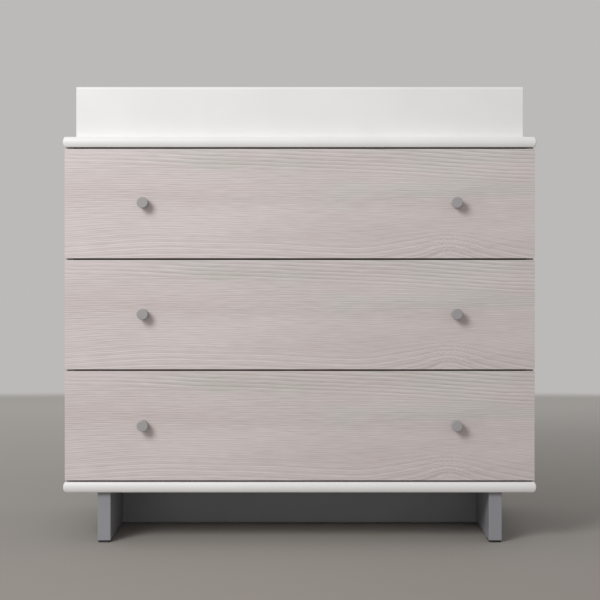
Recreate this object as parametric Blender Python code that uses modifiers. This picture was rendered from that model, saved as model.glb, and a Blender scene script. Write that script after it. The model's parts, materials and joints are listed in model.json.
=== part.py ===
"""Changing table: a three-drawer chest on a set-in base, with a changing topper. Metres, +Z up.

The drawers open towards -Y, and left is -X. The origin is on the floor, under the middle of the outline.
"""

import math

import bmesh
import bpy

# Overall sizes
CASE_WIDTH = 1.010  # over the side panels, which is also the length of a drawer front
CASE_HEIGHT = 0.720  # between the two slabs
SLAB_DEPTH = 0.500  # from the crown of the front edge to the flat back edge
BASE_HEIGHT = 0.110  # floor to the underside of the lower slab
TOPPER_HEIGHT = 0.110

# Fits
FIT_GAP = 0.0003  # between pieces that touch
FRONT_CLEARANCE = 0.0015  # the bumpers' height, between a drawer front and the case

# Slabs
SLAB_THICKNESS = 0.022
EDGE_CROWN = 0.0035  # how far the front and end edges bulge at mid thickness
CROWN_LAYERS = 8

# Case
SIDE_THICKNESS = 0.016
BACK_THICKNESS = 0.003
BACK_INSET = 0.002  # the back stops this far short of the side panels' faces
RAIL_HEIGHT = 0.070
RAIL_THICKNESS = 0.016

# Base
LEG_THICKNESS = 0.028
LEG_INSET = 0.0725  # slab end to the leg's outer face
LEG_SETBACK = 0.015  # slab's front and back edges to the leg's ends
STRETCHER_THICKNESS = 0.028
GLIDE_THICKNESS = 0.004
GLIDE_LENGTH = 0.050
GLIDE_MARGIN = 0.001  # glide edge to the leg's edges

# Drawers
DRAWER_ROWS = ("bottom", "middle", "top")
DRAWER_GAP = 0.00375  # above, between and below the fronts
FRONT_THICKNESS = 0.016
BOX_DEPTH = 0.430
BOX_HEIGHT = 0.150
BOX_LIFT = 0.030  # lower edge of the front to the lower edge of the box
BOX_WALL = 0.012
BOTTOM_THICKNESS = 0.003
BOTTOM_LIFT = 0.010  # lower edge of the box to the underside of its bottom
GROOVE_DEPTH = 0.006

# Knobs
KNOB_LENGTH = 0.025
KNOB_RADIUS = 0.012  # at the face
KNOB_FOOT_RADIUS = 0.0105  # where it meets the drawer front
KNOB_ROUNDING = 0.0015
KNOB_INSET = 0.169  # end of the drawer front to the knob's axis
KNOB_RAISE = 0.002  # above the middle of the drawer front
KNOB_STEPS = 36
ROUNDING_STEPS = 4

# Telescopic slides: the case member holds the runner, which holds the drawer member
SLIDE_SPACE = 0.0127  # between the side panel and the drawer box
SLIDE_LENGTH = 0.400
SLIDE_SETBACK = 0.003  # front edge of the side panel to the slide
SLIDE_HEIGHT = 0.045
SLIDE_WALL = 0.0012
SLIDE_TRACK = 0.0016  # height of the ball track between two members
SLIDE_WEB_GAP = 0.001  # between the webs of two members, and from a flange to the next web

# Topper
TOPPER_INSET = 0.0255  # slab's front and end edges to the topper
TOPPER_THICKNESS = 0.016
TOPPER_ROUNDING = 0.0055  # along the top edges

# Steel plates on the back, and the loop for the strap that holds the chest to the wall
PLATE_THICKNESS = 0.0015
PLATE_WIDTH = 0.018
PLATE_RISE = 0.038  # of a topper plate above the upper slab
PLATE_INSET = 0.150  # topper's end to a plate's centre line
PLATE_HOLE_RADIUS = 0.0022
PLATE_UPPER_HOLES = (0.012, 0.028)  # above the upper slab
LOOP_LENGTH = 0.060
LOOP_FOOT = 0.013
LOOP_RISE = 0.0055  # clear space for the strap
HOLE_STEPS = 20

# Edges
EDGE_ROUNDING = 0.001
EDGE_STEPS = 2
SHEET_ROUNDING = 0.0003
WELD_DISTANCE = 0.00001

# Heights worked out from the sizes above
case_low = BASE_HEIGHT + SLAB_THICKNESS
case_high = case_low + CASE_HEIGHT
topper_low = case_high + SLAB_THICKNESS
front_height = (CASE_HEIGHT - (len(DRAWER_ROWS) + 1) * DRAWER_GAP) / len(DRAWER_ROWS)

# Depths, which put the origin midway between the knobs' faces and the back of the strap loop
loop_depth = LOOP_RISE + PLATE_THICKNESS
face_y = (KNOB_LENGTH - (SLAB_DEPTH - EDGE_CROWN) - loop_depth - FIT_GAP) / 2
slab_front_y = face_y - EDGE_CROWN
back_y = slab_front_y + SLAB_DEPTH
behind_front_y = face_y + FRONT_THICKNESS
side_front_y = behind_front_y + FRONT_CLEARANCE
back_panel_y = back_y - BACK_THICKNESS

# Widths from the middle outwards
case_outer_x = CASE_WIDTH / 2
case_inner_x = case_outer_x - SIDE_THICKNESS
box_outer_x = case_inner_x - SLIDE_SPACE
box_inner_x = box_outer_x - BOX_WALL
topper_outer_x = case_outer_x + EDGE_CROWN - TOPPER_INSET
topper_inner_x = topper_outer_x - TOPPER_THICKNESS
leg_outer_x = case_outer_x + EDGE_CROWN - LEG_INSET
leg_inner_x = leg_outer_x - LEG_THICKNESS

# Slide members, which fill the space between the side panel and the box
web_step = SLIDE_WALL + SLIDE_WEB_GAP
runner_depth = SLIDE_SPACE - 2 * (FIT_GAP + web_step)
case_member_depth = runner_depth + web_step
drawer_member_depth = runner_depth
runner_height = SLIDE_HEIGHT - 2 * (SLIDE_WALL + SLIDE_TRACK)
drawer_member_height = runner_height - 2 * (SLIDE_WALL + SLIDE_TRACK)
slide_middle_y = side_front_y + SLIDE_SETBACK + SLIDE_LENGTH / 2

SIDES = (("left", -1), ("right", 1))


def clear_scene():
    for item in list(bpy.data.objects):
        bpy.data.objects.remove(item)


def new_collection(name):
    made = bpy.data.collections.new(name)
    bpy.context.scene.collection.children.link(made)
    return made


def new_material(name, colour, roughness, metallic=0.0):
    made = bpy.data.materials.new(name)
    made.use_nodes = True
    made.diffuse_color = (*colour, 1.0)
    shader = made.node_tree.nodes["Principled BSDF"]
    shader.inputs["Base Color"].default_value = (*colour, 1.0)
    shader.inputs["Roughness"].default_value = roughness
    shader.inputs["Metallic"].default_value = metallic
    return made


clear_scene()
PIECES = new_collection("changing_table")
CUTTERS = new_collection("cutters")

WHITE_LAMINATE = new_material("white_laminate", (0.80, 0.79, 0.77), 0.40)
WOODGRAIN_LAMINATE = new_material("woodgrain_laminate", (0.56, 0.51, 0.48), 0.48)
GREY_PAINT = new_material("grey_paint", (0.26, 0.26, 0.27), 0.45)
KNOB_GREY = new_material("knob_grey", (0.30, 0.30, 0.31), 0.42)
DRAWER_FOIL = new_material("drawer_foil", (0.70, 0.68, 0.65), 0.50)
FACED_HARDBOARD = new_material("faced_hardboard", (0.62, 0.60, 0.57), 0.60)
RAW_HARDBOARD = new_material("raw_hardboard", (0.27, 0.17, 0.10), 0.70)
ZINC_STEEL = new_material("zinc_steel", (0.62, 0.63, 0.65), 0.32, 1.0)
GLIDE_PLASTIC = new_material("glide_plastic", (0.03, 0.03, 0.03), 0.55)


def put(piece, location, parent=None):
    """Sets a piece's place in the world, also when it hangs on an unturned parent."""
    origin = parent.location if parent else (0.0, 0.0, 0.0)
    piece.location = [place - start for place, start in zip(location, origin)]
    piece.parent = parent


def new_piece(name, data, material, location, parent=None):
    piece = bpy.data.objects.new(name, data)
    PIECES.objects.link(piece)
    data.materials.clear()
    data.materials.append(material)
    put(piece, location, parent)
    return piece


def new_parent(name, location):
    """An empty that the pieces of one moving body hang on."""
    empty = bpy.data.objects.new(name, None)
    PIECES.objects.link(empty)
    empty.location = location
    return empty


def box_shape(low, high):
    """A bmesh box around its own middle, and the place of that middle."""
    size = [upper - lower for lower, upper in zip(low, high)]
    middle = [(upper + lower) / 2 for lower, upper in zip(low, high)]
    shape = bmesh.new()
    bmesh.ops.create_cube(shape, size=1.0)
    bmesh.ops.scale(shape, vec=size, verts=shape.verts)
    return shape, middle


def mesh_from(shape, name):
    mesh = bpy.data.meshes.new(name)
    shape.to_mesh(mesh)
    shape.free()
    return mesh


def board(name, low, high, material, parent=None, rounding=EDGE_ROUNDING, steps=EDGE_STEPS):
    """A rectangular board between two corners, with all its edges eased."""
    shape, middle = box_shape(low, high)
    piece = new_piece(name, mesh_from(shape, name), material, middle, parent)
    easing = piece.modifiers.new("eased edges", "BEVEL")
    easing.width = rounding
    easing.segments = steps
    return piece


def cutter(name, mesh, location):
    tool = bpy.data.objects.new(name, mesh)
    CUTTERS.objects.link(tool)
    tool.location = location
    tool.hide_render = True
    tool.display_type = "WIRE"
    return tool


def box_cutter(name, low, high):
    shape, middle = box_shape(low, high)
    return cutter(name, mesh_from(shape, name), middle)


def cut(piece, tool):
    cutting = piece.modifiers.new(tool.name, "BOOLEAN")
    cutting.operation = "DIFFERENCE"
    cutting.solver = "EXACT"
    cutting.object = tool


def crown_at(height):
    """How far a slab's edge bulges at this height from mid thickness: a shallow arc."""
    radius = ((SLAB_THICKNESS / 2) ** 2 + EDGE_CROWN**2) / (2 * EDGE_CROWN)
    return math.sqrt(radius**2 - height**2) - (radius - EDGE_CROWN)


def crowned_slab(name, low_z):
    """A slab whose front and end edges are crowned, and whose back edge is flat."""
    shape, middle = box_shape(
        (-case_outer_x, face_y, low_z), (case_outer_x, back_y, low_z + SLAB_THICKNESS)
    )
    for layer in range(1, CROWN_LAYERS):
        height = SLAB_THICKNESS * (layer / CROWN_LAYERS - 0.5)
        whole = shape.verts[:] + shape.edges[:] + shape.faces[:]
        bmesh.ops.bisect_plane(shape, geom=whole, plane_co=(0, 0, height), plane_no=(0, 0, 1))
    for corner in shape.verts:
        bulge = crown_at(corner.co.z)
        corner.co.x += math.copysign(bulge, corner.co.x)
        if corner.co.y < 0:
            corner.co.y -= bulge
    slab = new_piece(name, mesh_from(shape, name), WHITE_LAMINATE, middle)
    smooth(slab)
    return slab


def smooth(piece):
    piece.data.shade_smooth()
    piece.data.set_sharp_from_angle(angle=math.radians(35))


def topper_board(name, low, high, along):
    """A topper board with well rounded top edges along its length: axis 0 is X, and 1 is Y."""
    shape, middle = box_shape(low, high)
    top = max(corner.co.z for corner in shape.verts)
    across = 1 - along
    edges = [
        edge
        for edge in shape.edges
        if all(corner.co.z == top for corner in edge.verts)
        and edge.verts[0].co[across] == edge.verts[1].co[across]
    ]
    bmesh.ops.bevel(
        shape,
        geom=edges,
        offset=TOPPER_ROUNDING,
        offset_type="OFFSET",
        affect="EDGES",
        segments=ROUNDING_STEPS,
        profile=0.5,
        material=-1,
    )
    piece = new_piece(name, mesh_from(shape, name), WHITE_LAMINATE, middle)
    smooth(piece)
    return piece


def drill(plate, holes):
    """Screw holes through a plate on the back, at the given (x, z) places."""
    for number, (x, z) in enumerate(holes):
        shape = bmesh.new()
        bmesh.ops.create_cone(
            shape,
            cap_ends=True,
            segments=HOLE_STEPS,
            radius1=PLATE_HOLE_RADIUS,
            radius2=PLATE_HOLE_RADIUS,
            depth=4 * PLATE_THICKNESS,
        )
        tool = cutter(f"{plate.name}_hole_{number}", mesh_from(shape, plate.name), (x, back_y, z))
        tool.rotation_euler.x = math.pi / 2
        cut(plate, tool)


def make_case():
    crowned_slab("bottom_panel", BASE_HEIGHT)
    crowned_slab("top_panel", case_high)
    low, high = case_low + FIT_GAP, case_high - FIT_GAP
    for side, sign in SIDES:
        inner, outer = sorted((sign * case_inner_x, sign * case_outer_x))
        board(
            f"side_panel_{side}",
            (inner, side_front_y, low),
            (outer, back_panel_y - FIT_GAP, high),
            WOODGRAIN_LAMINATE,
        )
    back_x = case_outer_x - BACK_INSET
    board(
        "back_panel",
        (-back_x, back_panel_y, low),
        (back_x, back_y, high),
        RAW_HARDBOARD,
        rounding=SHEET_ROUNDING,
        steps=1,
    )
    rail_x = case_inner_x - FIT_GAP
    rail_back_y = back_panel_y - FIT_GAP
    board(
        "back_rail",
        (-rail_x, rail_back_y - RAIL_THICKNESS, high - RAIL_HEIGHT),
        (rail_x, rail_back_y, high),
        DRAWER_FOIL,
    )


def make_base():
    low, high = GLIDE_THICKNESS + FIT_GAP, BASE_HEIGHT - FIT_GAP
    front_y, rear_y = slab_front_y + LEG_SETBACK, back_y - LEG_SETBACK
    glide_half = LEG_THICKNESS / 2 - GLIDE_MARGIN
    for side, sign in SIDES:
        inner, outer = sorted((sign * leg_inner_x, sign * leg_outer_x))
        board(f"base_side_{side}", (inner, front_y, low), (outer, rear_y, high), GREY_PAINT)
        middle_x = (inner + outer) / 2
        ends = (
            ("front", front_y + GLIDE_MARGIN),
            ("back", rear_y - GLIDE_MARGIN - GLIDE_LENGTH),
        )
        for end, start_y in ends:
            board(
                f"glide_{end}_{side}",
                (middle_x - glide_half, start_y, 0),
                (middle_x + glide_half, start_y + GLIDE_LENGTH, GLIDE_THICKNESS),
                GLIDE_PLASTIC,
                rounding=SHEET_ROUNDING,
                steps=1,
            )
    middle_y = (front_y + rear_y) / 2
    reach = leg_inner_x - FIT_GAP
    board(
        "base_stretcher",
        (-reach, middle_y - STRETCHER_THICKNESS / 2, low),
        (reach, middle_y + STRETCHER_THICKNESS / 2, high),
        GREY_PAINT,
    )


def make_topper():
    low, high = topper_low + FIT_GAP, topper_low + TOPPER_HEIGHT
    front_y = slab_front_y + TOPPER_INSET
    ends = (("front", front_y), ("back", back_y - TOPPER_THICKNESS))
    for end, start_y in ends:
        topper_board(
            f"topper_{end}",
            (-topper_outer_x, start_y, low),
            (topper_outer_x, start_y + TOPPER_THICKNESS, high),
            along=0,
        )
    for side, sign in SIDES:
        inner, outer = sorted((sign * topper_inner_x, sign * topper_outer_x))
        topper_board(
            f"topper_{side}",
            (inner, front_y + TOPPER_THICKNESS + FIT_GAP, low),
            (outer, back_y - TOPPER_THICKNESS - FIT_GAP, high),
            along=1,
        )


def make_topper_plates():
    """Two plates across the joint, which hold the topper to the upper slab."""
    middle_z = case_high + SLAB_THICKNESS / 2
    hole_heights = [middle_z] + [topper_low + rise for rise in PLATE_UPPER_HOLES]
    for side, sign in SIDES:
        x = sign * (topper_outer_x - PLATE_INSET)
        plate = board(
            f"topper_plate_{side}",
            (x - PLATE_WIDTH / 2, back_y + FIT_GAP, middle_z - PLATE_WIDTH / 2),
            (x + PLATE_WIDTH / 2, back_y + FIT_GAP + PLATE_THICKNESS, topper_low + PLATE_RISE),
            ZINC_STEEL,
            rounding=SHEET_ROUNDING,
            steps=1,
        )
        drill(plate, [(x, height) for height in hole_heights])


def make_strap_loop():
    """A footman loop on the upper slab's back edge: two screwed feet and a bar that stands off."""
    half, leg = LOOP_LENGTH / 2, LOOP_LENGTH / 2 - LOOP_FOOT
    right_half = (
        (leg - PLATE_THICKNESS, LOOP_RISE),
        (leg - PLATE_THICKNESS, 0),
        (half, 0),
        (half, PLATE_THICKNESS),
        (leg, PLATE_THICKNESS),
        (leg, loop_depth),
    )
    left_half = [(-x, y) for x, y in reversed(right_half)]
    section = outline_curve("strap_loop", [*right_half, *left_half], PLATE_WIDTH)
    middle_z = case_high + SLAB_THICKNESS / 2
    loop = new_piece("strap_loop", as_mesh(section), ZINC_STEEL, (0, back_y + FIT_GAP, middle_z))
    drill(loop, [(sign * (half - LOOP_FOOT / 2), middle_z) for _, sign in SIDES])


def outline_curve(name, outline, length):
    """A flat outline in X and Y, extruded along Z by half the length each way."""
    curve = bpy.data.curves.new(name, "CURVE")
    curve.dimensions = "2D"
    curve.fill_mode = "BOTH"
    curve.extrude = length / 2
    spline = curve.splines.new("POLY")
    spline.points.add(len(outline) - 1)
    for point, (x, y) in zip(spline.points, outline):
        point.co = (x, y, 0, 1)
    spline.use_cyclic_u = True
    return curve


def as_mesh(curve):
    """The curve's shape as a mesh whose caps are joined to its sides, so that it can be cut."""
    holder = bpy.data.objects.new(curve.name, curve)
    CUTTERS.objects.link(holder)
    graph = bpy.context.evaluated_depsgraph_get()
    mesh = bpy.data.meshes.new_from_object(holder.evaluated_get(graph))
    bpy.data.objects.remove(holder)
    shape = bmesh.new()
    shape.from_mesh(mesh)
    bmesh.ops.remove_doubles(shape, verts=shape.verts, dist=WELD_DISTANCE)
    bmesh.ops.recalc_face_normals(shape, faces=shape.faces)
    shape.to_mesh(mesh)
    shape.free()
    return mesh


def channel_curve(name, height, depth):
    """A slide member's C section, extruded along its length. Its web is at X 0."""
    half, inside = height / 2, height / 2 - SLIDE_WALL
    upper_half = ((SLIDE_WALL, inside), (depth, inside), (depth, half), (0, half))
    lower_half = [(x, -y) for x, y in reversed(upper_half)]
    return outline_curve(name, [*upper_half, *lower_half], SLIDE_LENGTH)


def slide_member(name, curve, web_x, towards, height_z, parent=None):
    """Places a channel with its web at web_x and its open side towards +X or -X."""
    member = new_piece(name, curve, ZINC_STEEL, (web_x, slide_middle_y, height_z), parent)
    member.rotation_euler = (math.pi / 2, 0, 0 if towards > 0 else math.pi)
    return member


def make_slides(row, height_z, drawer):
    case_curve = channel_curve("case_slide", SLIDE_HEIGHT, case_member_depth)
    runner_curve = channel_curve("runner", runner_height, runner_depth)
    drawer_curve = channel_curve("drawer_slide", drawer_member_height, drawer_member_depth)
    runners = new_parent(f"runners_{row}", (0, slide_middle_y, height_z))
    for side, sign in SIDES:
        case_web_x = sign * (case_inner_x - FIT_GAP)
        runner_web_x = sign * (case_inner_x - FIT_GAP - web_step)
        drawer_web_x = sign * (box_outer_x + FIT_GAP)
        slide_member(f"case_slide_{row}_{side}", case_curve, case_web_x, -sign, height_z)
        slide_member(f"runner_{row}_{side}", runner_curve, runner_web_x, -sign, height_z, runners)
        slide_member(f"drawer_{row}_slide_{side}", drawer_curve, drawer_web_x, sign, height_z, drawer)


def knob_profile():
    """A knob's outline from the middle of its face, out round the rim and down to the middle of its foot."""
    outline = [(0, KNOB_LENGTH)]
    for step in range(ROUNDING_STEPS + 1):
        angle = math.pi / 2 * step / ROUNDING_STEPS
        radius = KNOB_RADIUS - KNOB_ROUNDING * (1 - math.sin(angle))
        height = KNOB_LENGTH - KNOB_ROUNDING * (1 - math.cos(angle))
        outline.append((radius, height))
    return outline + [(KNOB_FOOT_RADIUS, FIT_GAP), (0, FIT_GAP)]


def make_knob(name, x, z, parent):
    """A turned knob that stands on the drawer front and points towards -Y."""
    outline = knob_profile()
    mesh = bpy.data.meshes.new(name)
    points = [(radius, 0, height) for radius, height in outline]
    mesh.from_pydata(points, [(i, i + 1) for i in range(len(points) - 1)], [])
    knob = new_piece(name, mesh, KNOB_GREY, (x, face_y, z), parent)
    knob.rotation_euler.x = math.pi / 2
    turning = knob.modifiers.new("turned", "SCREW")
    turning.steps = turning.render_steps = KNOB_STEPS
    turning.use_merge_vertices = True
    turning.merge_threshold = WELD_DISTANCE
    turning.use_smooth_shade = True


def make_drawer(number, row):
    front_low = case_low + DRAWER_GAP + number * (front_height + DRAWER_GAP)
    front_high = front_low + front_height
    box_low = front_low + BOX_LIFT
    box_high = box_low + BOX_HEIGHT
    slide_z = (box_low + box_high) / 2
    box_front_y = behind_front_y + FIT_GAP
    box_back_y = behind_front_y + BOX_DEPTH
    back_front_y = box_back_y - BOX_WALL
    name = f"drawer_{row}"
    drawer = new_parent(name, (0, face_y, slide_z))

    front = board(
        f"{name}_front",
        (-case_outer_x, face_y, front_low),
        (case_outer_x, behind_front_y, front_high),
        WOODGRAIN_LAMINATE,
        drawer,
    )
    walls = [front]
    for side, sign in SIDES:
        inner, outer = sorted((sign * box_inner_x, sign * box_outer_x))
        walls.append(
            board(
                f"{name}_side_{side}",
                (inner, box_front_y, box_low),
                (outer, box_back_y, box_high),
                DRAWER_FOIL,
                drawer,
            )
        )
    back_x = box_inner_x - FIT_GAP
    walls.append(
        board(
            f"{name}_back",
            (-back_x, back_front_y, box_low),
            (back_x, box_back_y, box_high),
            DRAWER_FOIL,
            drawer,
        )
    )

    bottom_x = box_inner_x + GROOVE_DEPTH
    bottom_low = (-bottom_x, behind_front_y - GROOVE_DEPTH, box_low + BOTTOM_LIFT)
    bottom_high = (bottom_x, back_front_y + GROOVE_DEPTH, box_low + BOTTOM_LIFT + BOTTOM_THICKNESS)
    board(
        f"{name}_bottom",
        bottom_low,
        bottom_high,
        FACED_HARDBOARD,
        drawer,
        rounding=SHEET_ROUNDING,
        steps=1,
    )
    groove = box_cutter(
        f"{name}_groove",
        [value - FIT_GAP for value in bottom_low],
        [value + FIT_GAP for value in bottom_high],
    )
    for wall in walls:
        cut(wall, groove)

    knob_z = (front_low + front_high) / 2 + KNOB_RAISE
    for side, sign in SIDES:
        make_knob(f"{name}_knob_{side}", sign * (case_outer_x - KNOB_INSET), knob_z, drawer)
    make_slides(row, slide_z, drawer)


make_case()
make_base()
make_topper()
make_topper_plates()
make_strap_loop()
for number, row in enumerate(DRAWER_ROWS):
    make_drawer(number, row)
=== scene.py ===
"""The looks of a three-drawer changing table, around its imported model. Metres, +Z up.

The drawers open towards -Y, and left is -X.
"""

import json
import math

import bmesh
import bpy
from mathutils import Matrix, Vector


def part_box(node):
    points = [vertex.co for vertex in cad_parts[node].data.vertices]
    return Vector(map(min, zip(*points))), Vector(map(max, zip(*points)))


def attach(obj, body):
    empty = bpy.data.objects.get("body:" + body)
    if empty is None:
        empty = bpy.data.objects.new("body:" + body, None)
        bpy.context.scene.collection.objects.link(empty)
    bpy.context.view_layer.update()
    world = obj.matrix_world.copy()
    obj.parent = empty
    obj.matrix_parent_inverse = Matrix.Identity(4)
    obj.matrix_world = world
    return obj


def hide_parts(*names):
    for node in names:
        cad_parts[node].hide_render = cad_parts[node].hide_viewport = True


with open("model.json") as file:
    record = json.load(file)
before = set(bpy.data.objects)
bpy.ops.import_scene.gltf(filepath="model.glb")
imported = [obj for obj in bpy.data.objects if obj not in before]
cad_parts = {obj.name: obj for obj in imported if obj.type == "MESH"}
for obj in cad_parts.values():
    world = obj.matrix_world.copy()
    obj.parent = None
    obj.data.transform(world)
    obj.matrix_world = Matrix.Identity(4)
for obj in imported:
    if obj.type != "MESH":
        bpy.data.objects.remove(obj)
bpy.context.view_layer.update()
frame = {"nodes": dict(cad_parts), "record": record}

ROWS = ("bottom", "middle", "top")
SIDES = (("left", -1), ("right", 1))
FORWARDS = (0, -1, 0)
BACKWARDS = (0, 1, 0)
MM = 0.001
TINY = 0.001 * MM  # two places nearer than this are one


# Making pieces


def centre_of(low, high):
    """The middle of the box between two corners."""
    return [(a + b) / 2 for a, b in zip(low, high)]


def box_form(low, high):
    """A plain box between two corners, to be cut and rounded."""
    form = bmesh.new()
    bmesh.ops.create_cube(form, size=1.0)
    bmesh.ops.scale(form, vec=[b - a for a, b in zip(low, high)], verts=form.verts)
    bmesh.ops.translate(form, vec=centre_of(low, high), verts=form.verts)
    return form


def ease(form, edges, width, segments=3):
    """Rounds the given edges, the way a router or sanding block does."""
    bmesh.ops.bevel(
        form,
        geom=edges,
        offset=width,
        offset_type="OFFSET",
        affect="EDGES",
        segments=segments,
        profile=0.5,
        material=-1,
    )


def sharp_edges(form, angle=60):
    """The edges where two faces meet at more than this angle, in degrees."""
    shared = [edge for edge in form.edges if len(edge.link_faces) == 2]
    return [edge for edge in shared if edge.calc_face_angle() > math.radians(angle)]


def edges_along(form, axis, test):
    """The edges that run along an axis and whose both ends pass the test."""
    found = []
    for edge in form.edges:
        run = edge.verts[1].co - edge.verts[0].co
        if abs(run[axis]) > 0.9 * run.length and all(test(vert.co) for vert in edge.verts):
            found.append(edge)
    return found


def slice_form(form, axis, places):
    """Cuts a form across an axis at the given places, without taking anything away."""
    normal = [0, 0, 0]
    normal[axis] = 1
    for place in places:
        point = [0, 0, 0]
        point[axis] = place
        whole = form.verts[:] + form.edges[:] + form.faces[:]
        bmesh.ops.bisect_plane(form, geom=whole, dist=0.1 * TINY, plane_co=point, plane_no=normal)


def turned_form(profile, steps):
    """A form turned on a lathe around Z. Its (radius, height) points begin and end on the axis."""
    form = bmesh.new()
    verts = [form.verts.new((radius, 0, height)) for radius, height in profile]
    edges = [form.edges.new(pair) for pair in zip(verts, verts[1:])]
    bmesh.ops.spin(
        form,
        geom=verts + edges,
        cent=(0, 0, 0),
        axis=(0, 0, 1),
        dvec=(0, 0, 0),
        angle=2 * math.pi,
        steps=steps,
        use_merge=True,
    )
    bmesh.ops.remove_doubles(form, verts=form.verts, dist=TINY)
    bmesh.ops.recalc_face_normals(form, faces=form.faces)
    return form


def rounded_profile(radius, height, rounding, steps=4, foot=None):
    """A turned outline: a flat face at this height, a rounded rim, and a side down to a foot."""
    outline = [(0, height)]
    for step in range(steps + 1):
        angle = math.pi / 2 * step / steps
        across = radius - rounding * (1 - math.sin(angle))
        up = height - rounding * (1 - math.cos(angle))
        outline.append((across, up))
    return outline + [(foot or radius, 0), (0, 0)]


def facing(x, y, z, towards):
    """Puts a form made around +Z at a place, facing a direction."""
    turn = Vector((0, 0, 1)).rotation_difference(Vector(towards)).to_matrix().to_4x4()
    return Matrix.Translation((x, y, z)) @ turn


def as_mesh(form, name):
    """A form made into a mesh of this name."""
    mesh = bpy.data.meshes.new(name)
    form.to_mesh(mesh)
    form.free()
    return mesh


def finish_piece(name, form, finish, body, replaces=()):
    """Makes a form into a shaded piece that rides on a body. A finish is a material and a slot, and
    the slot is not used.
    """
    material, slot = finish
    mesh = as_mesh(form, name)
    mesh.shade_smooth()
    mesh.materials.append(material)
    piece = bpy.data.objects.new(name, mesh)
    bpy.context.scene.collection.objects.link(piece)
    shading = piece.modifiers.new("even shading", "WEIGHTED_NORMAL")
    shading.weight = 60
    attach(piece, body)
    if replaces:
        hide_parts(*replaces)
    return piece


def finish_copies(name, shape, places, finish, body):
    """Makes one piece from copies of a mesh, put where the placing matrices say."""
    form = bmesh.new()
    for place in places:
        before = set(form.verts)
        form.from_mesh(shape)
        fresh = [vert for vert in form.verts if vert not in before]
        bmesh.ops.transform(form, matrix=place, verts=fresh)
    finish_piece(name, form, finish, body)


# Making materials


def linear(colour):
    """An sRGB hex colour as the linear RGBA that shaders take."""
    parts = [int(colour[i : i + 2], 16) / 255 for i in (1, 3, 5)]
    return (*[p / 12.92 if p <= 0.04045 else ((p + 0.055) / 1.055) ** 2.4 for p in parts], 1.0)


def every(spacing):
    """The scale, per metre, of a pattern whose features lie this many millimetres apart."""
    return 1 / (spacing * MM)


def add_node(tree, kind, inputs=None, stops=(), **settings):
    """Adds a node with its settings, and links or sets its inputs, which are named or numbered.
    A colour ramp also takes its stops, each a place and an sRGB hex colour."""
    node = tree.nodes.new(kind)
    for name, value in settings.items():
        setattr(node, name, value)
    for index, (place, colour) in enumerate(stops):
        elements = node.color_ramp.elements
        element = elements[index] if index < len(elements) else elements.new(place)
        element.position = place
        element.color = linear(colour)
    for key, value in (inputs or {}).items():
        if isinstance(value, bpy.types.NodeSocket):
            tree.links.new(value, node.inputs[key])
        else:
            node.inputs[key].default_value = value
    return node


def new_material(name, roughness, metallic=0.0):
    """A material with its node tree, its shader, and the places that patterns are hung on."""
    material = bpy.data.materials.new(name)
    material.use_nodes = True
    tree = material.node_tree
    shader = tree.nodes["Principled BSDF"]
    shader.inputs["Roughness"].default_value = roughness
    shader.inputs["Metallic"].default_value = metallic
    place = add_node(tree, "ShaderNodeTexCoord").outputs["Object"]
    return material, tree, shader, place


def link_shader(tree, shader, links):
    """Links patterns to the shader's sockets, which are named."""
    for name, socket in links.items():
        tree.links.new(socket, shader.inputs[name])


def white_laminate():
    """White satin melamine, pressed on a finely pearled plate: even white, a soft broken gloss."""
    material, tree, shader, place = new_material("white satin melamine", 0.40)
    cloud = add_node(
        tree, "ShaderNodeTexNoise", {"Vector": place, "Scale": every(140), "Detail": 2.0}
    )
    tint = add_node(
        tree,
        "ShaderNodeValToRGB",
        {"Fac": cloud.outputs["Fac"]},
        stops=((0.35, "#EAE9E7"), (0.65, "#EEEDEC")),
    )
    # The plate's pearls are 0.3 mm, and are drawn at 0.8 mm so that they show.
    pearls = add_node(
        tree, "ShaderNodeTexNoise", {"Vector": place, "Scale": every(0.8), "Detail": 1.0}
    )
    gloss = add_node(
        tree,
        "ShaderNodeMapRange",
        {"Value": pearls.outputs["Fac"], "To Min": 0.36, "To Max": 0.46},
    )
    relief = add_node(
        tree,
        "ShaderNodeBump",
        {"Height": pearls.outputs["Fac"], "Strength": 0.08, "Distance": 0.05 * MM},
    )
    links = {
        "Base Color": tint.outputs["Color"],
        "Roughness": gloss.outputs["Result"],
        "Normal": relief.outputs["Normal"],
    }
    link_shader(tree, shader, links)
    return material


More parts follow.
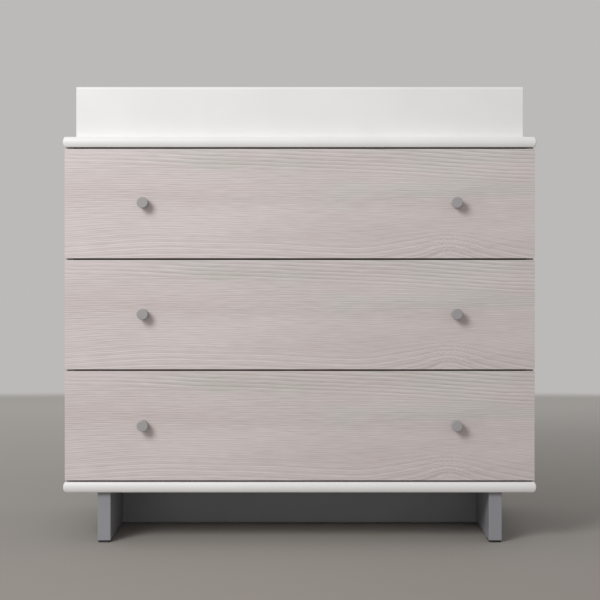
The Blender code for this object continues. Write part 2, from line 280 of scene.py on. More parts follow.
def grain_pushes(tree, board):
    """How far the grain is pushed up over a board, in several parts, and how near its knot is.

    The parts are a slow drift and a fine wobble of single lines, then an arch low on the left,
    and the wide and the steep rise over the knot, low on the right.
    """
    pushes = []
    for stretch, start, reach in (
        ((every(455), 1.0, every(125)), (4.3, 0.0, 1.7), 14 * MM),
        ((every(71), 1.0, every(9.1)), (0.0, 0.0, 0.0), 1.5 * MM),
    ):
        warp = add_node(
            tree, "ShaderNodeMapping", {"Vector": board, "Scale": stretch, "Location": start}
        )
        noise = add_node(
            tree,
            "ShaderNodeTexNoise",
            {"Vector": warp.outputs["Vector"], "Scale": 1.0, "Detail": 1.5},
        )
        push = add_node(
            tree,
            "ShaderNodeMapRange",
            {
                "Value": noise.outputs["Fac"],
                "From Min": 0.25,
                "From Max": 0.75,
                "To Min": -reach / 2,
                "To Max": reach / 2,
            },
        )
        pushes.append(push.outputs["Result"])
    for middle, reach, height in (
        ((-0.235, -0.140), (0.440, 0.210), 20 * MM),
        ((0.322, -0.092), (0.220, 0.110), 27 * MM),
        ((0.322, -0.086), (0.085, 0.042), 11 * MM),
    ):
        scale = (1 / reach[0], 0.0, 1 / reach[1])
        shift = (-middle[0] * scale[0], 0.0, -middle[1] * scale[2])
        local = add_node(
            tree, "ShaderNodeMapping", {"Vector": board, "Location": shift, "Scale": scale}
        )
        cone = add_node(
            tree,
            "ShaderNodeTexGradient",
            {"Vector": local.outputs["Vector"]},
            gradient_type="SPHERICAL",
        )
        dome = add_node(
            tree,
            "ShaderNodeMapRange",
            {"Value": cone.outputs["Fac"], "To Max": height},
            interpolation_type="SMOOTHSTEP",
        )
        pushes.append(dome.outputs["Result"])
    knot = cone.outputs["Fac"]
    return pushes, knot


def grain_masks(tree, x, level, high_level):
    """How strongly year rings show in the upper and in the lower part, and fine grain all over."""
    above = add_node(
        tree,
        "ShaderNodeMapRange",
        {"Value": high_level, "From Min": 64 * MM, "From Max": 72 * MM},
    ).outputs["Result"]
    lower = add_node(
        tree,
        "ShaderNodeMapRange",
        {"Value": level, "From Min": -70 * MM, "From Max": -96 * MM},
    ).outputs["Result"]
    # Towards the upper left corner the board nears the tree's heart, and its rings grow faint
    from_heart = add_node(
        tree, "ShaderNodeMath", {0: x, 1: -0.075, 2: high_level}, operation="MULTIPLY_ADD"
    ).outputs["Value"]
    upper = add_node(
        tree,
        "ShaderNodeMapRange",
        {
            "Value": from_heart,
            "From Min": 108 * MM,
            "From Max": 128 * MM,
            "To Min": above,
            "To Max": 0.0,
        },
    ).outputs["Result"]
    # Fine grain is bolder towards the left end, and faint between the upper rings
    leftward = add_node(
        tree,
        "ShaderNodeMapRange",
        {"Value": x, "From Min": -0.45, "From Max": -0.10, "To Min": 1.0, "To Max": 0.65},
    ).outputs["Result"]
    fine = add_node(
        tree, "ShaderNodeMapRange", {"Value": above, "To Min": leftward, "To Max": 0.2}
    ).outputs["Result"]
    return upper, lower, fine


def grain_tone(tree, board, axes):
    """The print's lightness over a board, around 0.5: its lines, pores and knot."""
    pushes, knot = grain_pushes(tree, board)
    # The rings lie aslant through the board, so that lines run along its edges as well
    level = add_node(
        tree, "ShaderNodeMath", {0: axes.outputs["Z"], 1: axes.outputs["Y"]}, operation="ADD"
    ).outputs["Value"]
    for push in pushes:
        level = add_node(
            tree, "ShaderNodeMath", {0: level, 1: push}, operation="SUBTRACT"
        ).outputs["Value"]
    # In the upper part, the lines fall by 4 cm over the length of a front
    x = axes.outputs["X"]
    high_level = add_node(
        tree, "ShaderNodeMath", {0: x, 1: 0.040, 2: level}, operation="MULTIPLY_ADD"
    ).outputs["Value"]
    upper, lower, fine = grain_masks(tree, x, level, high_level)

    # Lines at even steps of those levels: year rings above and below, then two fine grains.
    # The finest lines of real ash are 1 to 2 mm apart, and are drawn coarser so that they show.
    tone = 0.5
    for height, spacing, profile, twist, mask, strength in (
        (high_level, 8.4 * MM, "SAW", 0.8, upper, 0.36),
        (level, 12.5 * MM, "SAW", 1.4, lower, 0.20),
        (level, 4.5 * MM, "SIN", 0.9, fine, 0.21),
        (level, 6.9 * MM, "SIN", 1.6, fine, 0.11),
    ):
        along = add_node(tree, "ShaderNodeMath", {0: x, 1: 0.07}, operation="MULTIPLY")
        stacked = add_node(
            tree, "ShaderNodeCombineXYZ", {"X": along.outputs["Value"], "Z": height}
        )
        # At scale 1, a wave repeats every pi / 10
        wave = add_node(
            tree,
            "ShaderNodeTexWave",
            {
                "Vector": stacked.outputs["Vector"],
                "Scale": math.pi / 10 / spacing,
                "Distortion": twist,
                "Detail": 2.0,
                "Detail Scale": 1.0,
            },
            wave_type="BANDS",
            bands_direction="Z",
            wave_profile=profile,
        )
        centred = add_node(
            tree,
            "ShaderNodeMapRange",
            {"Value": wave.outputs["Fac"], "To Min": -strength, "To Max": strength},
        ).outputs["Result"]
        tone = add_node(
            tree, "ShaderNodeMath", {0: centred, 1: mask, 2: tone}, operation="MULTIPLY_ADD"
        ).outputs["Value"]
    # Pores, long and thin along the grain, soft broad bands, and specks in the knot. Real pores
    # are 0.3 mm across, and are drawn coarser so that they show.
    for stretch, detail, mask, strength in (
        ((every(50), every(1.8), every(1.8)), 3.0, 1.0, 0.54),
        ((every(620), every(62), every(62)), 2.0, 1.0, 0.42),
        ((every(2.4), every(2.4), every(2.4)), 2.0, knot, 1.8),
    ):
        warp = add_node(tree, "ShaderNodeMapping", {"Vector": board, "Scale": stretch})
        noise = add_node(
            tree,
            "ShaderNodeTexNoise",
            {"Vector": warp.outputs["Vector"], "Scale": 1.0, "Detail": detail},
        )
        centred = add_node(
            tree,
            "ShaderNodeMapRange",
            {"Value": noise.outputs["Fac"], "To Min": -strength, "To Max": strength},
        ).outputs["Result"]
        tone = add_node(
            tree, "ShaderNodeMath", {0: centred, 1: mask, 2: tone}, operation="MULTIPLY_ADD"
        ).outputs["Value"]
    return tone


def woodgrain_laminate(name, centre, upright=False):
    """Printed ash laminate, pressed matt, that looks like a board cut lengthways: bold rings above,
    straight fine grain in the middle, a low arch and a small knot below. The print starts anew at
    each board's centre."""
    material, tree, shader, place = new_material(name, 0.50)
    centred = add_node(
        tree, "ShaderNodeMapping", {"Vector": place, "Location": [-c for c in centre]}
    )
    turn = (math.pi / 2, 0.0, math.pi / 2) if upright else (0.0, 0.0, 0.0)
    board = add_node(
        tree, "ShaderNodeMapping", {"Vector": centred.outputs["Vector"], "Rotation": turn}
    ).outputs["Vector"]
    axes = add_node(tree, "ShaderNodeSeparateXYZ", {"Vector": board})
    tone = grain_tone(tree, board, axes)

    # The inks are pinkish, and greenish in broad streaks towards the upper right
    inks = []
    for stops in (
        ((0.0, "#BCAFAC"), (0.5, "#CFC4C3"), (1.0, "#DFD6D5")),
        ((0.0, "#B6AFAA"), (0.5, "#CAC5C1"), (1.0, "#DBD7D3")),
    ):
        ink = add_node(tree, "ShaderNodeValToRGB", {"Fac": tone}, stops=stops)
        inks.append(ink.outputs["Color"])
    warp = add_node(
        tree,
        "ShaderNodeMapping",
        {"Vector": board, "Scale": (every(385), 1.0, every(67)), "Location": (0.4, 0.0, 2.2)},
    )
    streaks = add_node(
        tree,
        "ShaderNodeTexNoise",
        {"Vector": warp.outputs["Vector"], "Scale": 1.0, "Detail": 2.0},
    )
    green = streaks.outputs["Fac"]
    for axis, slope in (("X", 0.16), ("Z", 0.6 if upright else 1.3)):
        green = add_node(
            tree,
            "ShaderNodeMath",
            {0: axes.outputs[axis], 1: slope, 2: green},
            operation="MULTIPLY_ADD",
        ).outputs["Value"]
    share = add_node(
        tree, "ShaderNodeMapRange", {"Value": green, "From Min": 0.52, "From Max": 0.72}
    )
    mixed = add_node(
        tree,
        "ShaderNodeMix",
        {"Factor": share.outputs["Result"], "A": inks[0], "B": inks[1]},
        data_type="RGBA",
    )
    relief = add_node(
        tree, "ShaderNodeBump", {"Height": tone, "Strength": 0.15, "Distance": 0.08 * MM}
    )
    links = {"Base Color": mixed.outputs["Result"], "Normal": relief.outputs["Normal"]}
    link_shader(tree, shader, links)
    return material


def painted(name, dark, light, roughness, droplets):
    """Satin sprayed paint: an even colour with the faint orange peel that a spray gun leaves, from
    droplets of this many millimetres."""
    material, tree, shader, place = new_material(name, roughness)
    cloud = add_node(
        tree, "ShaderNodeTexNoise", {"Vector": place, "Scale": every(110), "Detail": 2.0}
    )
    tint = add_node(
        tree,
        "ShaderNodeValToRGB",
        {"Fac": cloud.outputs["Fac"]},
        stops=((0.3, dark), (0.7, light)),
    )
    peel = add_node(
        tree, "ShaderNodeTexNoise", {"Vector": place, "Scale": every(droplets), "Detail": 1.0}
    )
    gloss = add_node(
        tree,
        "ShaderNodeMapRange",
        {
            "Value": peel.outputs["Fac"],
            "To Min": roughness - 0.05,
            "To Max": roughness + 0.05,
        },
    )
    relief = add_node(
        tree,
        "ShaderNodeBump",
        {"Height": peel.outputs["Fac"], "Strength": 0.12, "Distance": 0.06 * MM},
    )
    links = {
        "Base Color": tint.outputs["Color"],
        "Roughness": gloss.outputs["Result"],
        "Normal": relief.outputs["Normal"],
    }
    link_shader(tree, shader, links)
    return material


def drawer_foil():
    """Matt foil on the chipboard of the drawer boxes and the rail: off-white, with a fine print of
    linen threads that run both ways."""
    material, tree, shader, place = new_material("off-white linen foil", 0.55)
    # Linen threads are 0.4 mm apart, and are drawn at 1.1 mm so that they show.
    thread, slub = every(1.1), every(17)
    weaves = []
    for scale in ((slub, slub, thread), (thread, thread, slub)):
        threads = add_node(tree, "ShaderNodeMapping", {"Vector": place, "Scale": scale})
        weave = add_node(
            tree,
            "ShaderNodeTexNoise",
            {"Vector": threads.outputs["Vector"], "Scale": 1.0, "Detail": 1.0},
        )
        weaves.append(weave.outputs["Fac"])
    linen = add_node(tree, "ShaderNodeMath", {0: weaves[0], 1: weaves[1]}, operation="ADD")
    print_tone = add_node(
        tree,
        "ShaderNodeMapRange",
        {"Value": linen.outputs["Value"], "From Min": 0.6, "From Max": 1.4},
    )
    tint = add_node(
        tree,
        "ShaderNodeValToRGB",
        {"Fac": print_tone.outputs["Result"]},
        stops=((0.0, "#D6D2CA"), (1.0, "#E4E1DB")),
    )
    relief = add_node(
        tree,
        "ShaderNodeBump",
        {"Height": print_tone.outputs["Result"], "Strength": 0.1, "Distance": 0.05 * MM},
    )
    links = {"Base Color": tint.outputs["Color"], "Normal": relief.outputs["Normal"]}
    link_shader(tree, shader, links)
    return material


def hardboard(name, colours, roughness, fibre):
    """Hardboard: pressed wood fibre, smooth on its face, with short fibres that catch the light."""
    material, tree, shader, place = new_material(name, roughness)
    felt = add_node(
        tree,
        "ShaderNodeTexNoise",
        {"Vector": place, "Scale": every(3), "Detail": 6.0, "Roughness": 0.7},
    )
    cloud = add_node(
        tree, "ShaderNodeTexNoise", {"Vector": place, "Scale": every(70), "Detail": 3.0}
    )
    mixed = add_node(
        tree,
        "ShaderNodeMix",
        {"Factor": 0.2, "A": felt.outputs["Fac"], "B": cloud.outputs["Fac"]},
        data_type="FLOAT",
    )
    tint = add_node(
        tree,
        "ShaderNodeValToRGB",
        {"Fac": mixed.outputs["Result"]},
        stops=tuple(zip((0.32, 0.5, 0.68), colours)),
    )
    relief = add_node(
        tree,
        "ShaderNodeBump",
        {"Height": felt.outputs["Fac"], "Strength": fibre, "Distance": 0.1 * MM},
    )
    links = {"Base Color": tint.outputs["Color"], "Normal": relief.outputs["Normal"]}
    link_shader(tree, shader, links)
    return material


def plated_steel(name, colour, roughness):
    """Plated steel strip: bright grey, with rolling marks along the strip and faint blotches in
    the plating."""
    material, tree, shader, place = new_material(name, roughness, metallic=1.0)
    # Rolling marks are 0.1 mm across, and are drawn at 0.8 mm so that they show.
    across, along = every(0.8), every(40)
    rolled = add_node(
        tree, "ShaderNodeMapping", {"Vector": place, "Scale": (across, along, across)}
    )
    marks = add_node(
        tree,
        "ShaderNodeTexNoise",
        {"Vector": rolled.outputs["Vector"], "Scale": 1.0, "Detail": 2.0},
    )
    gloss = add_node(
        tree,
        "ShaderNodeMapRange",
        {
            "Value": marks.outputs["Fac"],
            "To Min": roughness - 0.08,
            "To Max": roughness + 0.12,
        },
    )
    blotches = add_node(
        tree, "ShaderNodeTexNoise", {"Vector": place, "Scale": every(17), "Detail": 3.0}
    )
    tint = add_node(
        tree,
        "ShaderNodeValToRGB",
        {"Fac": blotches.outputs["Fac"]},
        stops=((0.3, colour), (0.7, "#D6D9DC")),
    )
    relief = add_node(
        tree,
        "ShaderNodeBump",
        {"Height": marks.outputs["Fac"], "Strength": 0.1, "Distance": 0.03 * MM},
    )
    links = {
        "Base Color": tint.outputs["Color"],
        "Roughness": gloss.outputs["Result"],
        "Normal": relief.outputs["Normal"],
    }
    link_shader(tree, shader, links)
    return material


def moulded_plastic(name, dark, light, roughness):
    """Injection-moulded plastic, with the fine matt grain of a spark-eroded mould."""
    material, tree, shader, place = new_material(name, roughness)
    spark = add_node(
        tree, "ShaderNodeTexNoise", {"Vector": place, "Scale": every(0.5), "Detail": 2.0}
    )
    tint = add_node(
        tree,
        "ShaderNodeValToRGB",
        {"Fac": spark.outputs["Fac"]},
        stops=((0.3, dark), (0.7, light)),
    )
    relief = add_node(
        tree,
        "ShaderNodeBump",
        {"Height": spark.outputs["Fac"], "Strength": 0.2, "Distance": 0.05 * MM},
    )
    links = {"Base Color": tint.outputs["Color"], "Normal": relief.outputs["Normal"]}
    link_shader(tree, shader, links)
    return material


# Each finish is a material and a slot name; only the material is put on the pieces
LACQUER = painted("satin grey lacquer", "#919297", "#96979C", 0.42, droplets=0.6)
POWDER = painted("satin grey powder coat", "#A09F9E", "#A5A4A3", 0.38, droplets=0.4)
FACED_BOARD = hardboard(
    "white-faced hardboard", ("#D2CCC2", "#DDD8CF", "#E5E1D9"), 0.55, fibre=0.1
)
RAW_BOARD = hardboard("raw brown hardboard", ("#6E5038", "#86654A", "#9A7A5C"), 0.75, fibre=0.3)
WHITE = (white_laminate(), "white_laminate")
GREY = (LACQUER, "grey_paint")
KNOB = (POWDER, "knob_grey")
FOIL = (drawer_foil(), "drawer_foil")
FACED = (FACED_BOARD, "faced_hardboard")
RAW = (RAW_BOARD, "raw_hardboard")
STEEL = (plated_steel("zinc-plated steel", "#BFC3C8", 0.36), "zinc_steel")
SCREW = (plated_steel("bright nickel-plated steel", "#C8C4BC", 0.24), "zinc_steel")
BLACK = (moulded_plastic("black polypropylene", "#111112", "#18181A", 0.50), "glide_plastic")
CLEAR = (moulded_plastic("milky polyurethane", "#CFCFCC", "#DADAD7", 0.25), "glide_plastic")


# White slabs and topper


def crowned_slab(node):
    """A slab whose front and end edges are crowned, and whose back edge is flat."""
    low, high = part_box(node)
    crown = 3.5 * MM
    arris = 0.5 * MM
    corner_round = 2.5 * MM
    layers = 14
    half = (high.z - low.z) / 2
    middle_z = low.z + half
    form = box_form((low.x + crown, low.y + crown, low.z), (high.x - crown, high.y, high.z))
    ease(form, edges_along(form, 2, lambda co: co.y < 0), corner_round, segments=5)
    ease(form, sharp_edges(form), arris)
    crowned = 2 * half - 2 * arris
    slice_form(form, 2, [low.z + arris + crowned * step / layers for step in range(1, layers)])
    arc = (half**2 + crown**2) / (2 * crown)
    for vert in form.verts:
        bulge = math.sqrt(arc**2 - (vert.co.z - middle_z) ** 2) - (arc - crown)
        vert.co.x += math.copysign(bulge, vert.co.x)
        if vert.co.y < 0:
            vert.co.y -= bulge
    finish_piece(f"{node}_board", form, WHITE, "root", [node])


def topper_boards():
    """The topper's four boards, well rounded along both top edges."""
    top_round = 5.5 * MM
    arris = 0.6 * MM
    for end in ("front", "back", "left", "right"):
        node = f"topper_{end}"
        low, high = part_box(node)
        form = box_form(low, high)
        along = 0 if end in ("front", "back") else 1
        top_edges = edges_along(form, along, lambda co: co.z > high.z - MM)
        ease(form, top_edges, top_round, segments=8)
        ease(form, sharp_edges(form), arris, segments=2)
        finish_piece(f"{node}_board", form, WHITE, "root", [node])


# Case and base


def eased_board(node, finish):
    """A plain board of the case or the base, with all its edges eased."""
    low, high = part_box(node)
    form = box_form(low, high)
    ease(form, form.edges[:], 0.9 * MM)
    finish_piece(f"{node}_board", form, finish, "root", [node])


def case_sides():
    """The two side panels, whose grain stands upright."""
    for side, _ in SIDES:
        node = f"side_panel_{side}"
        name = f"upright printed ash laminate {side}"
        grain = woodgrain_laminate(name, centre_of(*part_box(node)), upright=True)
        eased_board(node, (grain, "woodgrain_laminate"))


def back_panel():
    """Thin hardboard that comes folded in three, and opens flat but for a dent at each fold."""
    low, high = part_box("back_panel")
    fold_width = 1.6 * MM
    fold_depth = 1.2 * MM
    folds = [(high.x - low.x) * share for share in (-1 / 6, 1 / 6)]
    form = box_form(low, high)
    ease(form, sharp_edges(form), 0.3 * MM, segments=1)
    for fold in folds:
        slice_form(form, 0, (fold - fold_width, fold, fold + fold_width))
    for vert in form.verts:
        outside = vert.co.y > (low.y + high.y) / 2
        if outside and any(abs(vert.co.x - fold) < 10 * TINY for fold in folds):
            vert.co.y -= fold_depth
    finish_piece("back_panel_sheet", form, RAW, "root", ["back_panel"])


def back_panel_nails():
    """Nails round the back panel's four edges, one at each corner and about 11 cm apart."""
    low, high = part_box("back_panel")
    head = rounded_profile(1.6 * MM, 0.7 * MM, 0.4 * MM, steps=2)
    nail = as_mesh(turned_form(head, 10), "nail")
    sunk = 0.1 * MM
    margin = 8 * MM
    spacing = 110 * MM
    rows = []
    for start, end in ((low.x, high.x), (low.z, high.z)):
        first, run = start + margin, end - start - 2 * margin
        count = round(run / spacing)
        rows.append([first + run * step / count for step in range(count + 1)])
    places = [(x, z) for x in rows[0] for z in (low.z + margin, high.z - margin)]
    places += [(x, z) for z in rows[1][1:-1] for x in (low.x + margin, high.x - margin)]
    placed = [facing(x, high.y - sunk, z, BACKWARDS) for x, z in places]
    finish_copies("back_panel_nails", nail, placed, SCREW, "root")


def base():
    """The legs, the stretcher between them, and the glides under the legs."""
    for side, _ in SIDES:
        eased_board(f"base_side_{side}", GREY)
    eased_board("base_stretcher", GREY)
    corner_round = 4 * MM
    foot_round = 1.2 * MM
    for end in ("front", "back"):
        for side, _ in SIDES:
            node = f"glide_{end}_{side}"
            low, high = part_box(node)
            form = box_form(low, high)
            ease(form, edges_along(form, 2, lambda co: True), corner_round, segments=4)
            floor_z = low.z + 10 * TINY
            foot = [e for e in sharp_edges(form) if all(v.co.z < floor_z for v in e.verts)]
            ease(form, foot, foot_round)
            finish_piece(f"{node}_pad", form, BLACK, "root", [node])


# Fasteners


def screw_head(radius, height):
    """A pan head with a cross recess, made around +Z and standing on Z 0."""
    form = turned_form(rounded_profile(radius, height, 0.75 * height, steps=3), 16)
    arm = 0.16 * radius  # half the width of the recess's arms
    reach = 0.55 * radius
    recess = 0.45 * height
    for axis in (0, 1):
        slice_form(form, axis, (-reach, -arm, arm, reach))
    for vert in form.verts:
        flat = vert.co.z > height - TINY
        across, along = sorted((abs(vert.co.x), abs(vert.co.y)))
        if flat and across < 0.6 * arm and along < 0.98 * reach:
            vert.co.z -= recess
    return as_mesh(form, "screw_head")


def cam_disc():
    """A cam lock's face: a rimmed disc with a cross recess, made around +Z."""
    radius = 7.2 * MM
    face = 0.25 * MM
    rim = 0.6 * MM
    outline = (
        (0, face),
        (0.78 * radius, face),
        (0.84 * radius, rim),
        (radius, rim),
        (radius, 0),
        (0, 0),
    )
    form = turned_form(outline, 20)
    arm = 1.0 * MM
    reach = 3.6 * MM
    recess = 0.2 * MM
    for axis in (0, 1):
        slice_form(form, axis, (-reach, -arm, arm, reach))
    for vert in form.verts:
        flat = abs(vert.co.z - face) < TINY
        across, along = sorted((abs(vert.co.x), abs(vert.co.y)))
        if flat and across < 0.5 * arm and along < 0.97 * reach:
            vert.co.z -= recess
    return as_mesh(form, "cam_disc")


PAN_HEAD = screw_head(3.6 * MM, 1.9 * MM)
KNOB_HEAD = screw_head(4.2 * MM, 2.4 * MM)
CAM = cam_disc()
CAM_SUNK = 0.05 * MM


def back_plate_screws():
    """Pan heads in the topper's plates and in the strap loop's feet."""
    places = []
    for side, _ in SIDES:
        low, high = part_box(f"topper_plate_{side}")
        slab_low, slab_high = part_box("top_panel")
        slab_screw = (slab_low.z + slab_high.z) / 2
        topper_screws = (slab_high.z + 12 * MM, slab_high.z + 28 * MM)
        for z in (slab_screw, *topper_screws):
            places.append(facing((low.x + high.x) / 2, high.y, z, BACKWARDS))
    low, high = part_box("strap_loop")
    foot_middle = 6.5 * MM
    foot_thickness = 1.5 * MM
    for x in (low.x + foot_middle, high.x - foot_middle):
        places.append(facing(x, low.y + foot_thickness, (low.z + high.z) / 2, BACKWARDS))
    finish_copies("back_plate_screws", PAN_HEAD, places, SCREW, "root")


def cam_locks():
    """Cam locks inside the topper's corners and behind the stretcher."""
    places = []
    from_end = 24 * MM
    shares = (0.3, 0.7)  # of each board's height
    for side, sign in SIDES:
        low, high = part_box(f"topper_{side}")
        inner_x = high.x if sign < 0 else low.x
        for y in (low.y + from_end, high.y - from_end):
            for share in shares:
                z = low.z + share * (high.z - low.z)
                places.append(facing(inner_x - sign * CAM_SUNK, y, z, (-sign, 0, 0)))
    low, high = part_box("base_stretcher")
    for x in (low.x + from_end, high.x - from_end):
        for share in shares:
            places.append(facing(x, high.y, low.z + share * (high.z - low.z), BACKWARDS))
    finish_copies("cam_locks", CAM, places, STEEL, "root")


# Drawers

WEB = 1.5 * MM  # the thickness of a slide member's steel


def drawer_front(row):
    """A laminated front with its edges eased, and behind it the groove for the bottom."""
    node = f"drawer_{row}_front"
    low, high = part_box(node)
    bottom_low, bottom_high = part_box(f"drawer_{row}_bottom")
    clearance = 0.3 * MM
    form = box_form(low, high)
    ease(form, form.edges[:], 0.35 * MM, segments=2)
    groove_x = bottom_high.x + clearance
    groove_z = (bottom_low.z - clearance, bottom_high.z + clearance)
    slice_form(form, 2, groove_z)
    slice_form(form, 0, (-groove_x, groove_x))
    groove = [
        face
        for face in form.faces
        if face.normal.y > 0.9
        and groove_z[0] < face.calc_center_median().z < groove_z[1]
        and abs(face.calc_center_median().x) < groove_x
    ]
    sunk = bmesh.ops.extrude_discrete_faces(form, faces=groove)["faces"]
    depth = high.y - (bottom_low.y - clearance)
    verts = list({vert for face in sunk for vert in face.verts})
    bmesh.ops.translate(form, vec=(0, -depth, 0), verts=verts)

    # The print is laid from the middle of the face
    centre = ((low.x + high.x) / 2, low.y, (low.z + high.z) / 2)
    grain = woodgrain_laminate(f"printed ash laminate {row}", centre)
    finish_piece(f"{node}_board", form, (grain, "woodgrain_laminate"), f"drawer_{row}", [node])


def drawer_knobs(row):
    """Two round knobs, a little narrower at the foot, and the screws that hold them."""
    body = f"drawer_{row}"
    front_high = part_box(f"{body}_front")[1]
    rim_round = 1.5 * MM
    foot_radius = 10.5 * MM
    screw_places = []
    for side, _ in SIDES:
        node = f"{body}_knob_{side}"
        low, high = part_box(node)
        x, z = (low.x + high.x) / 2, (low.z + high.z) / 2
        radius = (high.x - low.x) / 2
        length = high.y - low.y
        outline = rounded_profile(radius, length, rim_round, steps=6, foot=foot_radius)
        form = turned_form(outline, 64)
        bmesh.ops.transform(form, matrix=facing(x, high.y, z, FORWARDS), verts=form.verts)
        finish_piece(f"{node}_turned", form, KNOB, body, [node])
        screw_places.append(facing(x, front_high.y, z, BACKWARDS))
    finish_copies(f"{body}_knob_screws", KNOB_HEAD, screw_places, SCREW, body)


def drawer_fasteners(row):
    """The slide members' screws, and the cam locks that hold the front to the box sides."""
    body = f"drawer_{row}"
    screws_along = (30 * MM, 120 * MM, 300 * MM)
    cam_from_front = 26 * MM
    cam_shares = (0.16, 0.84)  # of the box's height
    screw_places = []
    cam_places = []
    for side, sign in SIDES:
        wall_low, wall_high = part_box(f"{body}_side_{side}")
        member_low, member_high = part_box(f"{body}_slide_{side}")
        outer_x = wall_high.x if sign > 0 else wall_low.x
        middle_z = (member_low.z + member_high.z) / 2
        for along in screws_along:
            y = member_low.y + along
            screw_places.append(facing(outer_x + sign * WEB, y, middle_z, (sign, 0, 0)))
        for share in cam_shares:
            z = wall_low.z + share * (wall_high.z - wall_low.z)
            cam_places.append(facing(outer_x, wall_low.y + cam_from_front, z, (sign, 0, 0)))
    finish_copies(f"{body}_slide_screws", PAN_HEAD, screw_places, SCREW, body)
    finish_copies(f"{body}_cam_locks", CAM, cam_places, STEEL, body)


def drawer_bumpers(row):
    """Soft round bumpers behind the front's four corners, where it meets the case."""
    low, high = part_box(f"drawer_{row}_front")
    button = rounded_profile(4 * MM, 1.3 * MM, 1.0 * MM, steps=3)
    bumper = as_mesh(turned_form(button, 20), "bumper")
    margin = 8 * MM
    stuck_y = high.y - 0.05 * MM
    corners = [
        facing(x, stuck_y, z, BACKWARDS)
        for x in (low.x + margin, high.x - margin)
        for z in (low.z + 2 * margin, high.z - 2 * margin)
    ]
    finish_copies(f"drawer_{row}_bumpers", bumper, corners, CLEAR, f"drawer_{row}")


def slide_levers(row):
    """The black lever on each drawer member, which is pressed to take the drawer off its slides."""
    body = f"drawer_{row}"
    length, height, thickness = 46 * MM, 9 * MM, 2 * MM
    taper = 0.55  # how much of its height the lever loses towards its tip
    droop = 2.5 * MM
    from_front = 128 * MM
    lever = box_form((0, 0, -height / 2), (thickness, length, height / 2))
    slice_form(lever, 1, (0.25 * length, 0.5 * length, 0.75 * length))
    for vert in lever.verts:
        along = vert.co.y / length
        vert.co.z = vert.co.z * (1 - taper * along) - droop * along**2
    ease(lever, sharp_edges(lever), 0.5 * MM, segments=2)
    shape = as_mesh(lever, "lever")
    places = []
    for side, sign in SIDES:
        low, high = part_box(f"{body}_slide_{side}")
        x = low.x + WEB if sign > 0 else high.x - WEB
        at = Matrix.Translation((x, low.y + from_front, (low.z + high.z) / 2))
        turn = Matrix.Identity(4) if sign > 0 else Matrix.Rotation(math.pi, 4, "Y")
        places.append(at @ turn)
    finish_copies(f"{body}_slide_levers", shape, places, BLACK, body)


def eased_copies():
    """Copies of the model's own boards, plates and slide members, with edges and bends eased."""
    easings = {
        "drawer_foil": (FOIL, 0.5 * MM, "board"),
        "faced_hardboard": (FACED, 0.2 * MM, "sheet"),
        "zinc_steel": (STEEL, 0.25 * MM, "pressed"),
    }
    bend_round = 1.0 * MM
    bodies = frame["record"]["behaviour"]["bodies"]
    for subpart in frame["record"]["subparts"]:
        node, slot = subpart["node"], subpart["material_slot"]
        if slot not in easings:
            continue
        finish, width, word = easings[slot]
        form = bmesh.new()
        form.from_mesh(frame["nodes"][node].data)
        bmesh.ops.remove_doubles(form, verts=form.verts, dist=TINY)
        flat = math.radians(1)
        bmesh.ops.dissolve_limit(form, angle_limit=flat, verts=form.verts, edges=form.edges)
        if "slide_" in node or "runner_" in node:
            # Each member is bent at both edges of its web, which is on the side it is held by
            low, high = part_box(node)
            outward = (high.x > 0) != node.startswith("drawer_")
            web_x = high.x if outward else low.x
            bends = edges_along(form, 1, lambda co: abs(co.x - web_x) < 10 * TINY)
            ease(form, bends, bend_round, segments=4)
            word = "rolled"
        ease(form, sharp_edges(form), width, segments=2)
        body = next(name for name, nodes in bodies.items() if node in nodes)
        finish_piece(f"{node}_{word}", form, finish, body, [node])


crowned_slab("bottom_panel")
crowned_slab("top_panel")
topper_boards()
case_sides()
back_panel()
back_panel_nails()
base()
back_plate_screws()
cam_locks()
for row in ROWS:
    drawer_front(row)
    drawer_knobs(row)
    drawer_fasteners(row)
    drawer_bumpers(row)
    slide_levers(row)
eased_copies()


# Studio, in metres and watts

SURROUND = "#BBBAB8"
FILL_STRENGTH = 0.46
KEY_POWER = 91.5
KEY_SIZE = 1.7
KEY_PLACE = Vector((-1.9, -3.05, 2.4))
KEY_AIM = Vector((0, 0, 0.5))
FLOOR_RADIUS = 7.0
# The floor's painted shading: its colour runs darker in front and paler towards the back, painted
# in to stand for how the light falls across it
FLOOR_PAINTED_SHADING = ((0.0, "#98918B"), (0.3, "#A19C96"), (1.0, "#CFCBC5"))
PAINTED_SHADING_FROM, PAINTED_SHADING_TO = -1.0, 2.5  # where along Y the floor's shades begin and end
FADE_FROM, FADE_TO = 2.95, 3.25  # how far behind the table the floor fades out
FADE_LENGTHENED = 2.0  # how much further out it fades to the sides
LENS = 92.8
LENS_RISE = -0.085
CAMERA_BACK = 3.3195  # in front of the upper slab
CAMERA_HEIGHT = 0.643
CAMERA_RIGHT = 0.7 * MM
CAMERA_DIP = math.radians(0.17)


def surround():
    """A pale surround for the eye, with an even white fill for everything it lights."""
    world = bpy.data.worlds.new("pale surround")
    bpy.context.scene.world = world
    world.use_nodes = True
    tree = world.node_tree
    seen = tree.nodes["Background"]
    seen.inputs["Color"].default_value = linear(SURROUND)
    fill = add_node(
        tree, "ShaderNodeBackground", {"Color": linear("#FFFFFF"), "Strength": FILL_STRENGTH}
    )
    path = add_node(tree, "ShaderNodeLightPath")
    either = add_node(
        tree,
        "ShaderNodeMixShader",
        {0: path.outputs["Is Camera Ray"], 1: fill.outputs[0], 2: seen.outputs[0]},
    )
    tree.links.new(either.outputs[0], tree.nodes["World Output"].inputs["Surface"])


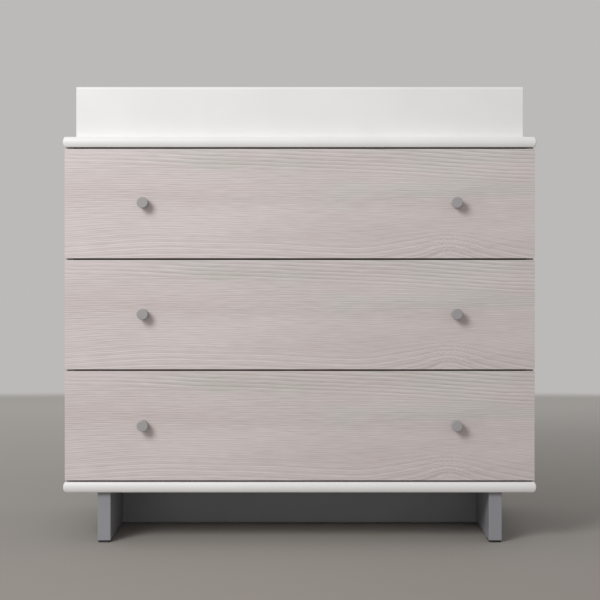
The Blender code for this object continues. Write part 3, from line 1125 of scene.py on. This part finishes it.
def floor():
    """A plain floor with painted shading, darker in front and paler towards the back, that fades
    into the surround behind the table.
    """
    form = bmesh.new()
    bmesh.ops.create_circle(form, cap_ends=True, radius=FLOOR_RADIUS, segments=96)
    ground = bpy.data.objects.new("floor", as_mesh(form, "floor"))
    bpy.context.scene.collection.objects.link(ground)
    material, tree, shader, place = new_material("pale matt floor", 0.75)
    axes = add_node(tree, "ShaderNodeSeparateXYZ", {"Vector": place})
    # Painted shading: the floor's colour is darker towards the front and paler towards the back
    backwards = add_node(
        tree,
        "ShaderNodeMapRange",
        {"Value": axes.outputs["Y"], "From Min": PAINTED_SHADING_FROM, "From Max": PAINTED_SHADING_TO},
    )
    painted_shading = add_node(
        tree, "ShaderNodeValToRGB", {"Fac": backwards.outputs["Result"]}, stops=FLOOR_PAINTED_SHADING
    )
    link_shader(tree, shader, {"Base Color": painted_shading.outputs["Color"]})
    oval = add_node(
        tree,
        "ShaderNodeMapping",
        {"Vector": place, "Scale": (1 / FADE_LENGTHENED, 1.0, 1.0)},
    )
    far = add_node(tree, "ShaderNodeVectorMath", {0: oval.outputs["Vector"]}, operation="LENGTH")
    fade = add_node(
        tree,
        "ShaderNodeMapRange",
        {"Value": far.outputs["Value"], "From Min": FADE_FROM, "From Max": FADE_TO},
        interpolation_type="SMOOTHSTEP",
    )
    clear = add_node(tree, "ShaderNodeBsdfTransparent")
    mixed = add_node(
        tree,
        "ShaderNodeMixShader",
        {0: fade.outputs["Result"], 1: shader.outputs["BSDF"], 2: clear.outputs["BSDF"]},
    )
    tree.links.new(mixed.outputs["Shader"], tree.nodes["Material Output"].inputs["Surface"])
    ground.data.materials.append(material)


def key_light():
    """One soft round light, high on the left in front."""
    light = bpy.data.lights.new("key", "AREA")
    light.shape = "DISK"
    light.size = KEY_SIZE
    light.energy = KEY_POWER
    key = bpy.data.objects.new("key", light)
    bpy.context.scene.collection.objects.link(key)
    key.location = KEY_PLACE
    key.rotation_euler = (KEY_AIM - KEY_PLACE).to_track_quat("-Z", "Y").to_euler()


def camera():
    """A long lens from straight ahead, a little above the middle of the top drawer."""
    lens = bpy.data.cameras.new("camera")
    lens.lens = LENS
    lens.sensor_width = 36.0
    lens.shift_y = LENS_RISE
    holder = bpy.data.objects.new("camera", lens)
    bpy.context.scene.collection.objects.link(holder)
    front_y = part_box("top_panel")[0].y
    holder.location = (CAMERA_RIGHT, front_y - CAMERA_BACK, CAMERA_HEIGHT)
    holder.rotation_euler = (math.pi / 2 - CAMERA_DIP, 0.0, 0.0)
    bpy.context.scene.camera = holder


bpy.context.scene.view_settings.view_transform = "Standard"
surround()
floor()
key_light()
camera()
